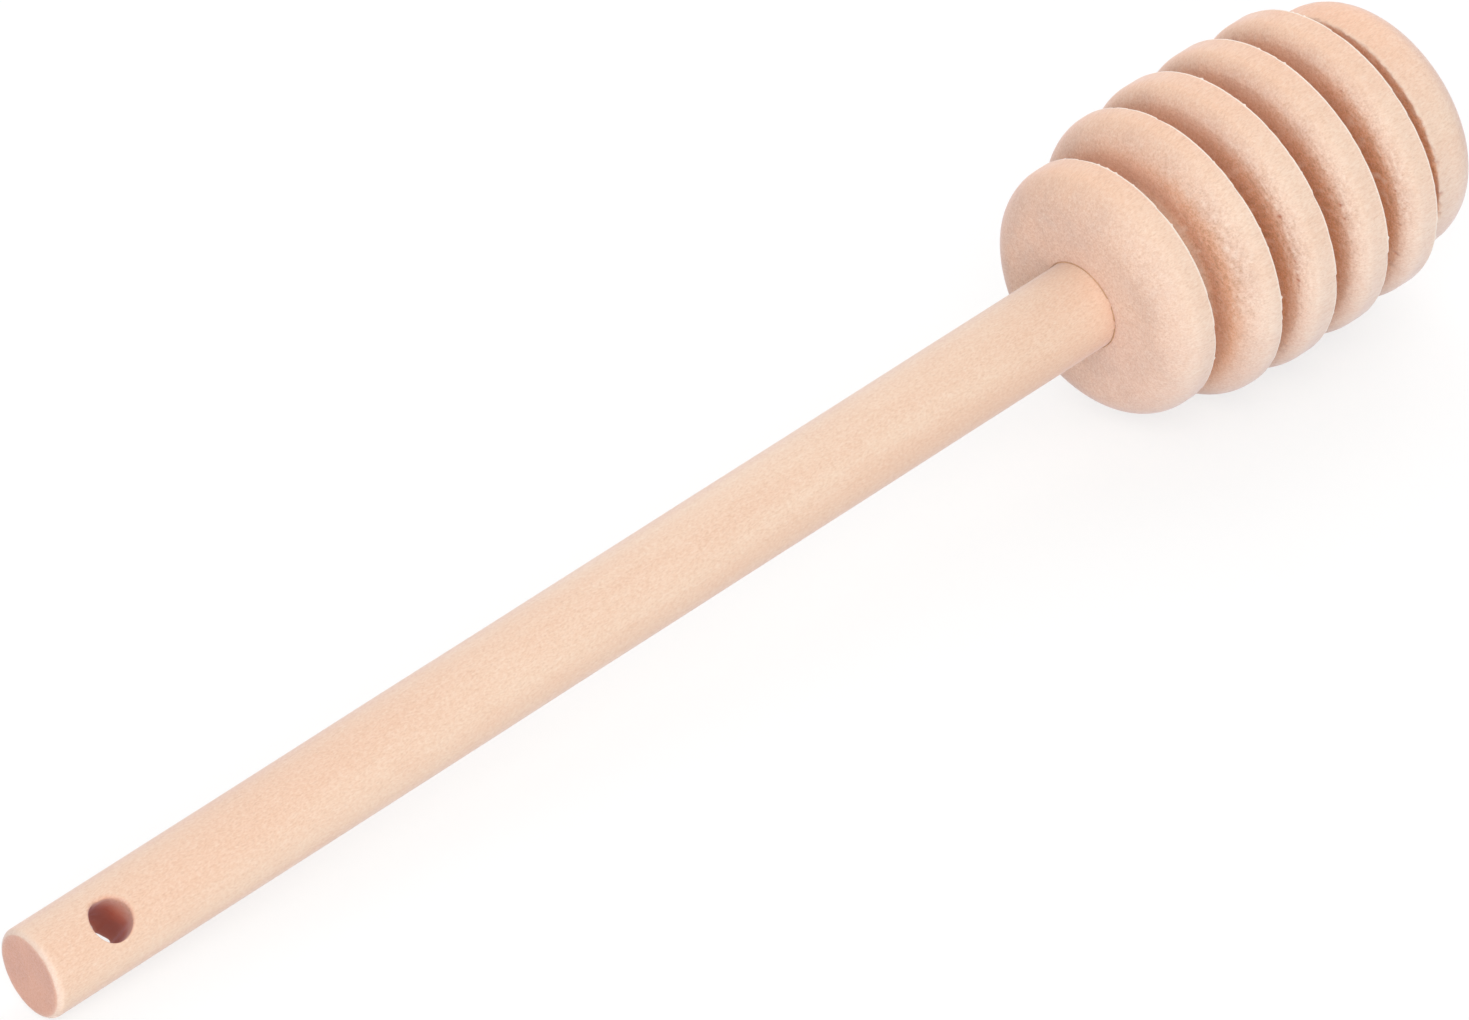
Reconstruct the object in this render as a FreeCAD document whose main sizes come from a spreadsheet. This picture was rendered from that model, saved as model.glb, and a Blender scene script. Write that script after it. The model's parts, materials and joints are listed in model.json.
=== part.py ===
import FreeCAD, Part
import math
import os
import Sketcher

# A wooden honey dipper: a dowel handle glued into the socket of a turned head of six rings.
# It lies as it would on a table, on the edge of its butt and on one of its rings. All lengths
# are in millimetres. The assembly's own axis is X, with the butt of the handle at zero.

SIZES = {
    # the handle
    "handle_diameter": 8.0,
    "handle_shown": 119.3,
    "tenon_length": 16.0,
    "butt_rounding": 0.5,
    "tenon_chamfer": 0.8,
    "hole_diameter": 3.8,
    "hole_from_butt": 7.3,
    "hole_lean_degrees": 5.0,
    "hole_roll_degrees": 40.0,
    # the turned head
    "end_ring_diameter": 23.2,
    "second_ring_diameter": 26.6,
    "middle_ring_diameter": 27.2,
    "core_diameter": 16.0,
    "first_ring_width": 4.5,
    "last_ring_width": 5.55,
    "ring_pitch": 6.3,
    "slot_width": 2.8,
    "last_slot_width": 2.05,
    "end_rounding": 3.4,
    "second_ring_rounding": 3.0,
    "ring_front_length": 2.0,
    "ring_front_drop": 1.2,
    "ring_back_rounding": 0.3,
    "last_ring_edge_rounding": 0.3,
    # the glued joint
    "head_roll_degrees": 56.0,
    "glue_clearance": 0.1,
    "glue_floor": 0.5,
    "glue_recess": 0.6,
    # how far a cut runs past the wood
    "cut_overrun": 1.0,
}

# The crests are the same from both ends, so three diameters serve six rings.
RING_DIAMETERS = [
    "end_ring_diameter",
    "second_ring_diameter",
    "middle_ring_diameter",
    "middle_ring_diameter",
    "second_ring_diameter",
    "end_ring_diameter",
]
RING_COUNT = len(RING_DIAMETERS)
LAST_RING = RING_COUNT - 1

# Rings whose front is a quarter round; the front of each other ring ends in an arris at its slot
QUARTER_ROUNDS = {
    0: "end_rounding",
    1: "second_ring_rounding",
    LAST_RING: "last_ring_edge_rounding",
}
FULL_TURN = 2 * math.pi


class Size:
    """A length: its number, for the first drawing, and the sheet expression that it stays bound to."""

    def __init__(self, value, text):
        self.value = value
        self.text = text

    def __add__(self, other):
        return Size(self.value + other.value, f"({self.text} + {other.text})")

    def __sub__(self, other):
        return Size(self.value - other.value, f"({self.text} - {other.text})")

    def __rmul__(self, count):
        return Size(count * self.value, f"({count} * {self.text})")

    def __truediv__(self, count):
        return Size(self.value / count, f"({self.text} / {count})")


ZERO = Size(0.0, "0")


def size(name):
    """The driving dimension of that name."""
    return Size(SIZES[name], f"Sizes.{name}")


def larger(one, other):
    """The larger of two sizes."""
    return Size(max(one.value, other.value), f"max({one.text}; {other.text})")


# Lengths that several pieces share
handle_radius = size("handle_diameter") / 2
head_start = size("handle_shown")
tenon_end = head_start + size("tenon_length")
tenon_chamfer = size("tenon_chamfer")
socket_radius = handle_radius + size("glue_clearance")
socket_end = tenon_end + size("glue_floor")
butt_rounding = size("butt_rounding")
end_rounding = size("end_rounding")
back_rounding = size("ring_back_rounding")
core_radius = size("core_diameter") / 2
ring_radii = [size(name) / 2 for name in RING_DIAMETERS]


def ring_back(ring):
    """Where the ring of that number, counted from 0, ends at the slot behind it."""
    return head_start + size("first_ring_width") + ring * size("ring_pitch")


def slot_before(ring):
    """The width of the slot in front of a ring; the one in front of the last ring is narrower."""
    return size("last_slot_width" if ring == LAST_RING else "slot_width")


def ring_front(ring):
    """Where the ring of that number starts: the first at the handle, the others at a slot."""
    if ring == 0:
        return head_start
    return ring_back(ring - 1) + slot_before(ring)


def front_round(ring):
    """How far the round front of a ring goes along its crest, and how far it falls."""
    if ring in QUARTER_ROUNDS:
        return size(QUARTER_ROUNDS[ring]), size(QUARTER_ROUNDS[ring])
    return size("ring_front_length"), size("ring_front_drop")


def round_radius(run, drop):
    """The radius of a round that leaves a crest level and falls by drop over run."""
    text = f"(({run.text} ^ 2 + {drop.text} ^ 2) / (2 * {drop.text}))"
    return Size((run.value ** 2 + drop.value ** 2) / (2 * drop.value), text)


head_end = ring_front(LAST_RING) + size("last_ring_width")


def make_sheet(doc):
    """The spreadsheet of driving dimensions, one named row each."""
    sheet = doc.addObject("Spreadsheet::Sheet", "Sizes")
    for row, (name, value) in enumerate(SIZES.items(), start=1):
        sheet.set(f"A{row}", name)
        sheet.set(f"B{row}", str(value))
        sheet.setAlias(f"B{row}", name)
    doc.recompute()


def make_pose(doc):
    """How the dipper lies: the line under the butt's edge and the ring that touches is level."""
    pose = doc.addObject("App::VarSet", "Pose")
    pose.addProperty("App::PropertyAngle", "tilt")
    pose.addProperty("App::PropertyDistance", "lift")
    pose.addProperty("App::PropertyDistance", "middle")

    butt_shoulder = handle_radius - butt_rounding
    leans = []
    for ring, radius in enumerate(ring_radii):
        length, drop = front_round(ring)
        rounding = round_radius(length, drop)
        run = (ring_front(ring) + length - butt_rounding).text
        rise = (radius - rounding - butt_shoulder).text
        more = (rounding - butt_rounding).text
        leans.append(f"atan2({rise}; {run}) + asin({more} / sqrt({run} ^ 2 + {rise} ^ 2))")
    pose.setExpression("tilt", f"max({'; '.join(leans)})")

    shoulder, edge = butt_shoulder.text, butt_rounding.text
    pose.setExpression("lift", f"{shoulder} * cos(tilt) + {edge} - {edge} * sin(tilt)")
    nearest = f"{edge} * cos(tilt) - {shoulder} * sin(tilt) - {edge}"
    end_shoulder = (ring_radii[LAST_RING] - end_rounding).text
    end_centre = (head_end - end_rounding).text
    furthest = f"{end_centre} * cos(tilt) + {end_shoulder} * sin(tilt) + {end_rounding.text}"
    pose.setExpression("middle", f"({nearest} + {furthest}) / 2")
    doc.recompute()


def new_body(doc, label, roll):
    """A body that lies in the shared pose, rolled about the dipper's axis by the angle of that name.
    The handle's roll turns its hanging hole up and to the front; the head was glued on at a roll of its own."""
    body = doc.addObject("PartDesign::Body", label.title().replace("_", ""))
    body.Label = label
    place = "vector(-Pose.middle; 0; Pose.lift)"
    slant = f"rotation(0; -Pose.tilt; Sizes.{roll})"
    body.setExpression("Placement", f"placement({place}; {slant})")
    return body


def new_sketch(body, name, role):
    """A sketch on the body's own origin plane of that role."""
    sketch = body.newObject("Sketcher::SketchObject", name)
    plane = next(feature for feature in body.Origin.OriginFeatures if feature.Role == role)
    sketch.AttachmentSupport = [(plane, "")]
    sketch.MapMode = "FlatFace"
    return sketch


def hold(sketch, kind, edge, point, length):
    """Hold one coordinate of a sketch point; zero is a point on the other axis."""
    if length is ZERO:
        axis = -2 if kind == "DistanceX" else -1
        sketch.addConstraint(Sketcher.Constraint("PointOnObject", edge, point, axis))
        return
    row = sketch.addConstraint(Sketcher.Constraint(kind, -1, 1, edge, point, length.value))
    sketch.setExpression(f"Constraints[{row}]", length.text)


def add_arc(sketch, start, end, centre):
    """An arc the short way from start to end. Returns which of its points is its start and which its end."""
    out = start - centre
    back = end - centre
    first = math.atan2(out.y, out.x)
    last = math.atan2(back.y, back.x)
    circle = Part.Circle(centre, FreeCAD.Vector(0, 0, 1), out.Length)
    sweep = (last - first) % FULL_TURN
    if sweep < math.pi:
        sketch.addGeometry(Part.ArcOfCircle(circle, first, first + sweep))
        return 1, 2
    sketch.addGeometry(Part.ArcOfCircle(circle, last, last + FULL_TURN - sweep))
    return 2, 1


def draw_outline(sketch, corners):
    """A closed outline. A corner is (along, radius), and a third size there is the place along the
    axis of the centre of a round that leads to the next corner, straight below its higher end."""
    points = [FreeCAD.Vector(corner[0].value, corner[1].value, 0) for corner in corners]
    ends = []
    for number, corner in enumerate(corners):
        start = points[number]
        end = points[(number + 1) % len(points)]
        if len(corner) == 2:
            sketch.addGeometry(Part.LineSegment(start, end))
            ends.append((1, 2))
        else:
            crest, foot = (start, end) if start.y > end.y else (end, start)
            drop = crest.y - foot.y
            radius = ((crest.x - foot.x) ** 2 + drop ** 2) / (2 * drop)
            centre = FreeCAD.Vector(corner[2].value, crest.y - radius, 0)
            ends.append(add_arc(sketch, start, end, centre))
    for edge, corner in enumerate(corners):
        following = (edge + 1) % len(corners)
        joint = Sketcher.Constraint("Coincident", edge, ends[edge][1], following, ends[following][0])
        sketch.addConstraint(joint)
        hold(sketch, "DistanceX", edge, ends[edge][0], corner[0])
        hold(sketch, "DistanceY", edge, ends[edge][0], corner[1])
        if len(corner) == 3:
            hold(sketch, "DistanceX", edge, 3, corner[2])


def turn(body, name, kind, corners):
    """A turned feature: the outline spun about the axis, to add wood or to cut it."""
    sketch = new_sketch(body, f"{name}Outline", "XZ_Plane")
    draw_outline(sketch, corners)
    feature = body.newObject(kind, name)
    feature.Profile = sketch
    feature.ReferenceAxis = (sketch, ["H_Axis"])
    return feature


def draw_circle(sketch, diameter):
    """A circle about the sketch's own origin."""
    centre = FreeCAD.Vector(0, 0, 0)
    sketch.addGeometry(Part.Circle(centre, FreeCAD.Vector(0, 0, 1), diameter.value / 2))
    sketch.addConstraint(Sketcher.Constraint("Coincident", 0, 3, -1, 1))
    row = sketch.addConstraint(Sketcher.Constraint("Diameter", 0, diameter.value))
    sketch.setExpression(f"Constraints[{row}]", diameter.text)


def make_handle(doc):
    """The dowel: a rounded butt, a chamfered tenon end, and a hanging hole drilled a little aslant."""
    body = new_body(doc, "handle", "hole_roll_degrees")
    shoulder = tenon_end - tenon_chamfer
    outline = [
        (ZERO, ZERO),
        (ZERO, handle_radius - butt_rounding, butt_rounding),
        (butt_rounding, handle_radius),
        (shoulder, handle_radius),
        (tenon_end, handle_radius - tenon_chamfer),
        (tenon_end, ZERO),
    ]
    turn(body, "Dowel", "PartDesign::Revolution", outline)

    sketch = new_sketch(body, "HangingHoleCircle", "XY_Plane")
    draw_circle(sketch, size("hole_diameter"))
    place = f"vector({size('hole_from_butt').text}; 0; 0)"
    lean = "rotation(0; -Sizes.hole_lean_degrees; 0)"
    sketch.setExpression("AttachmentOffset", f"placement({place}; {lean})")
    hole = body.newObject("PartDesign::Pocket", "HangingHole")
    hole.Profile = sketch
    hole.SideType = "Symmetric"
    through = size("handle_diameter") + 2 * size("cut_overrun")
    hole.setExpression("Length", through.text)
    return body


def blank_outline():
    """The head before its slots are cut: a stepped barrel with rounded ends. Each step is inside a slot."""
    first, last = ring_radii[0], ring_radii[LAST_RING]
    front_crest = head_start + end_rounding
    end_crest = head_end - end_rounding
    corners = [
        (head_start, ZERO),
        (head_start, first - end_rounding, front_crest),
        (front_crest, first),
    ]
    for ring in range(LAST_RING):
        if RING_DIAMETERS[ring] != RING_DIAMETERS[ring + 1]:
            middle = ring_back(ring) + slot_before(ring + 1) / 2
            corners += [(middle, ring_radii[ring]), (middle, ring_radii[ring + 1])]
    corners += [
        (end_crest, last, end_crest),
        (head_end, last - end_rounding),
        (head_end, ZERO),
    ]
    return corners


def slot_outline(ring):
    """The cut behind a ring: parallel walls down to the core, and lips that round both rings' edges."""
    before, after = ring_radii[ring], ring_radii[ring + 1]
    length, drop = front_round(ring + 1)
    left, right = ring_back(ring), ring_front(ring + 1)
    left_lip, right_lip = left - back_rounding, right + length
    rim = larger(before, after) + size("cut_overrun")
    return [
        (left, core_radius),
        (left, before - back_rounding, left_lip),
        (left_lip, before),
        (left_lip, rim),
        (right_lip, rim),
        (right_lip, after, right_lip),
        (right, after - drop),
        (right, core_radius),
    ]


def make_head(doc):
    """The turned head: the blank, the drilled socket and the honey slots."""
    body = new_body(doc, "dipper_head", "head_roll_degrees")
    turn(body, "Blank", "PartDesign::Revolution", blank_outline())

    sketch = new_sketch(body, "SocketCircle", "YZ_Plane")
    draw_circle(sketch, 2 * socket_radius)
    sketch.setExpression("AttachmentOffset.Base.z", head_start.text)
    socket = body.newObject("PartDesign::Pocket", "Socket")
    socket.Profile = sketch
    socket.Reversed = True
    socket.setExpression("Length", (socket_end - head_start).text)

    for ring in range(LAST_RING):
        turn(body, f"HoneySlot{ring + 1}", "PartDesign::Groove", slot_outline(ring))
    return body


def make_glue(doc):
    """The cured glue: a thin cup round the tenon, which stops short of the socket's mouth."""
    body = new_body(doc, "glue_film", "head_roll_degrees")
    start = head_start + size("glue_recess")
    shoulder = tenon_end - tenon_chamfer
    outline = [
        (start, handle_radius),
        (start, socket_radius),
        (socket_end, socket_radius),
        (socket_end, ZERO),
        (tenon_end, ZERO),
        (tenon_end, handle_radius - tenon_chamfer),
        (shoulder, handle_radius),
    ]
    turn(body, "Cup", "PartDesign::Revolution", outline)
    return body


def check(doc, bodies):
    """Stop if a feature failed, a cut took nothing away or a piece isn't one sound solid."""
    for item in doc.Objects:
        if "Invalid" in item.State or "Error" in item.State:
            raise RuntimeError(f"{item.Name} failed: {item.State}")
        if item.TypeId in ("PartDesign::Pocket", "PartDesign::Groove"):
            if item.Shape.Volume >= item.BaseFeature.Shape.Volume:
                raise RuntimeError(f"{item.Name} cuts nothing")
    for body in bodies:
        shape = body.Shape
        if shape.isNull() or not shape.isValid() or len(shape.Solids) != 1:
            raise RuntimeError(f"{body.Label} isn't one sound solid")


def main():
    doc = FreeCAD.newDocument("HoneyDipper")
    make_sheet(doc)
    make_pose(doc)
    bodies = [make_handle(doc), make_head(doc), make_glue(doc)]
    doc.recompute()
    check(doc, bodies)
    os.makedirs("parts", exist_ok=True)
    for body in bodies:
        body.Shape.exportStep(f"parts/{body.Label}.step")
        print(f"{body.Label}: {body.Shape.Volume:.1f} cubic mm")
    print(f"The dipper lies {doc.Pose.tilt} from level.")


main()
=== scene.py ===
"""The looks of a wooden honey dipper: a sanded dowel glued into a turned head of six rings."""

import json
import math

import bmesh
import bpy
import numpy as np
from bpy.props import FloatProperty, FloatVectorProperty, IntProperty, PointerProperty
from mathutils import Matrix, Vector, noise


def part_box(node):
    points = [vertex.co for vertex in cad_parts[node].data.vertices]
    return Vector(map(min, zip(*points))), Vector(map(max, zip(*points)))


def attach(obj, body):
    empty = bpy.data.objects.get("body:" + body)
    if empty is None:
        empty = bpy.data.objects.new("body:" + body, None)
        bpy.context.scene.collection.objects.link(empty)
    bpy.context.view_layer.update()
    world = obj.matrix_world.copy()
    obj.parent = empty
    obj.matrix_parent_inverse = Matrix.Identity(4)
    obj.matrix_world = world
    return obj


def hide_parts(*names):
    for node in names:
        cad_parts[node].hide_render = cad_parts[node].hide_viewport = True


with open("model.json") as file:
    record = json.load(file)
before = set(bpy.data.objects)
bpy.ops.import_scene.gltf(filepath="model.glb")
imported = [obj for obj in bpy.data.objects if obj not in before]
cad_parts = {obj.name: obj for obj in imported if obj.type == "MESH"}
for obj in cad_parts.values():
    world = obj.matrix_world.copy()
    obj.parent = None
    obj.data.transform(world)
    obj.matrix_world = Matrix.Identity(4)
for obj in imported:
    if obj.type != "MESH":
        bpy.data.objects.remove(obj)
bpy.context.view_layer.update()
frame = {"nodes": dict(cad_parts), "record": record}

bl_info = {
    "name": "Honey Dipper",
    "version": (1, 0, 0),
    "blender": (4, 5, 0),
    "location": "3D View > Sidebar > Honey Dipper",
    "description": "Builds a wooden honey dipper round its packed model, with its stage",
    "category": "Add Mesh",
}

MM = 0.001
FULL_TURN = 2 * math.pi
MOUNTS = {mount["name"]: mount for mount in frame["record"]["mounts"]}

# Seeds of the grain in both pieces of wood, and of the torn rings
HANDLE_GRAIN = 0.0
HEAD_GRAIN = 0.5
TEAR_SEED = 5

# Uneven surfaces: a seed, and the lumps' length in millimetres, or lengths along, across and up
UNEVEN = {
    "tool_stroke": (1.0, (0.2, 0.8, 0.2)),
    "saw_cut": (2.0, (1.0, 0.5, 1.5)),
    "sanded_dowel": (3.0, (14.0, 4.0, 4.0)),
    "sanded_head": (4.0, (4.0, 5.0, 5.0)),
    "hole_rim": (5.0, 0.7),
    "glue_rim": (6.0, 0.25),
    "ring_edge": (7.0, 0.4),
    "ring_arris": (8.0, 0.3),
    "hole_wall": (9.0, 0.5),
}

# The dipper's own frame: X along its axis from the butt, Y across, Z up from the axis
AXIS = Vector(MOUNTS["head_end"]["axis"]).normalized()
ACROSS = Vector((0, 1, 0))
UP = AXIS.cross(ACROSS)
END = Vector(MOUNTS["head_end"]["pos_m"])


def reach(node):
    """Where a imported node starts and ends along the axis."""
    places = [AXIS.dot(vertex.co) for vertex in frame["nodes"][node].data.vertices]
    return min(places), max(places)


BUTT = END - AXIS * (AXIS.dot(END) - reach("handle")[0])
TILT = math.atan2(AXIS.z, AXIS.x)
POSE = Matrix((AXIS, ACROSS, UP)).transposed().to_4x4()
POSE.translation = BUTT
INTO_POSE = POSE.inverted()


def along_axis(node):
    """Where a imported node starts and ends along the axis, from the butt."""
    start = AXIS.dot(BUTT)
    return [place - start for place in reach(node)]


def half_width(node):
    """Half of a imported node's breadth across the dipper."""
    low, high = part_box(node)
    return (high.y - low.y) / 2


HANDLE_RADIUS = half_width("handle")
SOCKET_RADIUS = half_width("glue_film")
MIDDLE_RADIUS = half_width("dipper_head")
TENON_END = along_axis("handle")[1]
SOCKET_END = along_axis("glue_film")[1]
HEAD_START, HEAD_END = along_axis("dipper_head")
HOLE_RADIUS = MOUNTS["hanging_hole"]["dims"]["r_mm"] * MM
HOLE_PLACE = INTO_POSE @ Vector(MOUNTS["hanging_hole"]["pos_m"])
HOLE_AXIS = INTO_POSE.to_3x3() @ Vector(MOUNTS["hanging_hole"]["axis"]).normalized()


# Settings

def linear(code):
    """An sRGB hex colour as linear red, green and blue."""
    shares = [int(code[place:place + 2], 16) / 255 for place in (1, 3, 5)]
    return [share / 12.92 if share <= 0.04045 else ((share + 0.055) / 1.055) ** 2.4 for share in shares]


def length(name, description, millimetres):
    """A length property, given in millimetres and kept in metres."""
    kind = {"min": 0.0, "precision": 5, "subtype": "DISTANCE", "unit": "LENGTH"}
    return FloatProperty(name=name, description=description, default=millimetres * MM, **kind)


def angle(name, description, degrees):
    """An angle property, given in degrees and kept in radians."""
    kind = {"subtype": "ANGLE", "unit": "ROTATION"}
    return FloatProperty(name=name, description=description, default=math.radians(degrees), **kind)


def colour(name, description, code):
    """A colour property, given as an sRGB hex value."""
    kind = {"min": 0.0, "max": 1.0, "size": 3, "subtype": "COLOR"}
    return FloatVectorProperty(name=name, description=description, default=linear(code), **kind)


def factor(name, description, share):
    """A property for a share from 0 to 1."""
    kind = {"min": 0.0, "max": 1.0, "subtype": "FACTOR"}
    return FloatProperty(name=name, description=description, default=share, **kind)


def number(name, description, count):
    """A property for a count."""
    return IntProperty(name=name, description=description, default=count, min=0)


class WoodSettings(bpy.types.PropertyGroup):
    """Colours and surface of the wood that both pieces are made of."""

    cream: colour("Cream", "Wood between the growth rings", "#F3D7BF")
    blush: colour("Blush", "Pinker wood of the growth rings", "#EDC7AD")
    # A rosier tint towards one side of the head
    rose: colour("Rose", "Rosier wood on one side of the head", "#FAC19C")
    # The painted cool bounce light on the underside of the head
    bounce_tint: colour("Ashen", "Greyer wood on its other side", "#EFE0E0")
    fibre: colour("Fibre", "The dark side of a fibre", "#E3BA9C")
    end_grain: colour("End grain", "Cut fibre ends, which soak up light", "#E0B9A5")
    dust: colour("Dust", "Cut fibre ends that hold sanding dust", "#C6ABA0")
    pore: colour("Pore", "Dashes and dots of the open pores", "#AE7F5E")
    # Also the colour of the painted highlight along the crisp edges, and of the painted lit side of the
    # head
    worn: colour("Worn", "Edges and fibres that sanding left pale", "#FFF3E6")
    # The painted warm shade deep in the slots, warm like light that bounces in them
    painted_slot_shade: colour("Toasted", "Wood that the cutter toasted in the slots", "#E39D68")
    # The saw's browning at the butt, and the painted shade inside the hanging hole
    browned: colour("Browned", "Wood that the saw or the drill browned", "#C86036")
    # The painted shade at the bottom of a torn pit
    pit: colour("Pit", "The bottom of a torn pit", "#A84A20")
    fuzz: colour("Fuzz", "The sheen of loose fibre tips", "#E4DEEC")
    roughness: factor("Roughness", "How dull the sanded wood is", 0.62)


class HandleSettings(bpy.types.PropertyGroup):
    """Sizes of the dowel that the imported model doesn't give."""

    butt_rounding: length("Butt rounding", "Radius of the sanded edge of the butt", 0.65)
    butt_slope: angle("Butt slope", "How far the butt is from square", 5.0)
    tenon_chamfer: length("Tenon chamfer", "Width of the bevel at the tenon's end", 0.8)
    rim_wear: length("Rim wear", "How far the hole's rim is worn round", 0.25)
    rim_bump: length("Rim bump", "How far the bump in the hole's rim stands out", 0.1)
    rim_bump_turn: angle("Rim bump turn", "Where round the hole its bump is", 81.0)
    exit_bump: length("Exit bump", "How far fibres stand out of the far rim", 0.3)
    exit_bump_turn: angle("Exit bump turn", "Where round the hole those fibres are", 15.0)
    exit_chip: length("Exit chip", "Depth of the chip out of the far rim", 0.5)
    exit_chip_turn: angle("Exit chip turn", "Where round the hole that chip is", 338.0)
    # How far the browning next to the head reaches
    browning_reach: length("Stain reach", "How far the glue stained the dowel", 0.8)
    unevenness: length("Unevenness", "How far the dowel is from round", 0.02)


class HeadSettings(bpy.types.PropertyGroup):
    """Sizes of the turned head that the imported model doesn't give."""

    end_ring_diameter: length("End ring diameter", "Diameter of the first and the last ring", 23.2)
    second_ring_diameter: length("Second ring diameter", "Diameter of the rings next to those", 26.6)
    core_diameter: length("Core diameter", "Diameter of the core in the slots", 16.0)
    first_ring_width: length("First ring width", "Width of the ring at the handle", 4.5)
    ring_pitch: length("Ring pitch", "From one ring's back to the next", 6.3)
    slot_width: length("Slot width", "Width of the honey slots", 2.8)
    last_slot_width: length("Last slot width", "Width of the slot before the last ring", 2.05)
    end_rounding: length("End rounding", "Radius of the head's ends", 3.4)
    second_rounding: length("Second rounding", "Radius of the second ring's front", 3.0)
    front_round_length: length("Front round length", "How far a front's rounding goes along", 2.0)
    front_round_drop: length("Front round drop", "How far a front falls before its slot", 1.2)
    back_rounding: length("Back rounding", "Radius of a ring's crisp back edge", 0.12)
    last_edge_rounding: length("Last edge rounding", "Radius of the last ring's ragged edge", 0.2)
    mouth_rounding: length("Mouth rounding", "Radius of the socket's mouth", 0.05)
    unevenness: length("Unevenness", "How far the rings are from round", 0.04)
    torn_depth: length("Torn depth", "How deep the tool's torn strokes are", 0.02)
    bite_depth: length("Bite depth", "Depth of the largest bites", 0.07)
    edge_roughness: length("Edge roughness", "How far a ring's back edge wanders", 0.02)
    arris_wear: length("Arris wear", "How far sanding took back a front's arris", 0.06)
    arris_roughness: length("Arris roughness", "How far a front's torn arris wanders", 0.09)
    last_edge_roughness: length("Last edge roughness", "How far the last ring's edge wanders", 0.32)
    sliver_length: length("Sliver length", "How far the longest loose fibre sticks out", 0.2)
    pit_depth: length("Pit depth", "Depth of the torn pits", 0.14)
    bite_count: number("Bite count", "Bites out of each ring edge", 44)
    sliver_count: number("Sliver count", "Loose fibres at each ring edge", 16)
    pit_count: number("Pit count", "Torn pits along each torn edge", 10)


class GlueSettings(bpy.types.PropertyGroup):
    """The cured glue between the tenon and the socket."""

    amber: colour("Amber", "Glue that soaked into the wood and yellowed", "#D8AB86")
    pool_size: length("Pool size", "How large its dried pools are", 1.5)
    gap_depth: length("Gap depth", "How deep the joint's gaps are", 0.45)
    rim_unevenness: length("Rim unevenness", "How far the glue's edge wanders", 0.035)


class StageSettings(bpy.types.PropertyGroup):
    """The camera, the light and the floor."""

    azimuth: angle("Azimuth", "Where the camera stands round the dipper", -44.1)
    elevation: angle("Elevation", "How high the camera stands above the floor", 34.93)
    distance: length("Distance", "From the camera to the point that it looks at", 1158.6)
    aim: FloatVectorProperty(
        name="Aim",
        description="The point that the camera looks at",
        default=(-0.80 * MM, -0.94 * MM, 12.13 * MM),
        size=3,
        precision=5,
        subtype="XYZ",
        unit="LENGTH",
    )
    lens: FloatProperty(name="Lens", description="Millimetres, for a 36 mm sensor", default=343.9, min=1.0)
    sky: factor("Sky", "Strength of the even light from all round", 0.43)
    paper: colour("Paper", "The floor as it throws light on the dipper", "#E6E6E6")
    shaded_paper: colour("Shaded paper", "What light adds to the floor's glow", "#959595")
    glow: factor("Glow", "How bright the floor is in full shade", 0.72)


class DipperSettings(bpy.types.PropertyGroup):
    """All settings of the dipper and its stage."""

    wood: PointerProperty(type=WoodSettings)
    handle: PointerProperty(type=HandleSettings)
    head: PointerProperty(type=HeadSettings)
    glue: PointerProperty(type=GlueSettings)
    stage: PointerProperty(type=StageSettings)


# Mesh helpers

def lumps(points, surface, shift=0.0):
    """Smooth noise from -1 to 1 on an uneven surface; a shift gives another run of it."""
    seed, size = UNEVEN[surface]
    scaled = np.asarray(points).reshape(-1, 3) / (np.array(size) * MM) + (seed + shift)
    values = [noise.noise(Vector(point)) for point in scaled.tolist()]
    return np.array(values).reshape(np.asarray(points).shape[:-1])


def nearness(distance, breadth):
    """A share that falls off smoothly from 1 at no distance."""
    return np.exp(-(distance / breadth) ** 2)


def ramp(values, start, full):
    """A share that grows evenly from 0 at start to 1 at full."""
    return np.clip((values - start) / (full - start), 0, 1)


def toward(turn, degrees):
    """A share that is 1 at an angle round the axis, and 0 from a quarter turn away."""
    return np.clip(np.cos(turn - math.radians(degrees)), 0, 1)


def apart(turn, start):
    """The angle from start to turn, the short way round."""
    return (turn - start + math.pi) % FULL_TURN - math.pi


def evenly(count):
    """That many angles, evenly spaced round a full turn."""
    return np.arange(count) * FULL_TURN / count


def spokes(turn):
    """Points at angles round a circle with a radius of 1 mm."""
    return np.stack([np.cos(turn), np.sin(turn), np.zeros_like(turn)], axis=1) * MM


def round_axis(along, turn, radius):
    """Points at a place along the axis, an angle round it and a radius.
    The angle is 0 at the top and a quarter turn on the side towards -Y."""
    along, turn, radius = np.broadcast_arrays(along, turn, radius)
    return np.stack([along, -radius * np.sin(turn), radius * np.cos(turn)], axis=-1)


def straight(start, end, spacing):
    """Points of a straight stretch from start to just before end."""
    count = max(1, math.ceil(math.dist(start, end) / spacing))
    shares = np.arange(count)[:, None] / count
    return (1 - shares) * np.array(start) + shares * np.array(end)


def rounded(start, end, centre, spacing):
    """Points of the arc from start to just before end, the short way round centre."""
    first = np.array(start) - centre
    last = np.array(end) - centre
    begin = math.atan2(first[1], first[0])
    sweep = apart(math.atan2(last[1], last[0]), begin)
    radius = math.hypot(*first)
    count = max(3, math.ceil(abs(sweep) * radius / spacing))
    turn = begin + sweep * np.arange(count) / count
    return np.array(centre) + radius * np.stack([np.cos(turn), np.sin(turn)], axis=1)


def facing(profile):
    """Unit normals of a profile, out of the wood, as parts along the axis and away from it."""
    ahead = np.gradient(profile, axis=0)
    outward = np.stack([-ahead[:, 1], ahead[:, 0]], axis=1)
    return outward / np.linalg.norm(outward, axis=1)[:, None]


def strip(one, other):
    """Quads between two closed loops of as many points."""
    following = np.roll(one, -1), np.roll(other, -1)
    return np.stack([one, following[0], following[1], other], axis=-1).tolist()


def fan(loop, pole):
    """Triangles between a closed loop and the point at its middle."""
    return [(one, other, pole) for one, other in zip(loop.tolist(), np.roll(loop, -1).tolist())]


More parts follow.
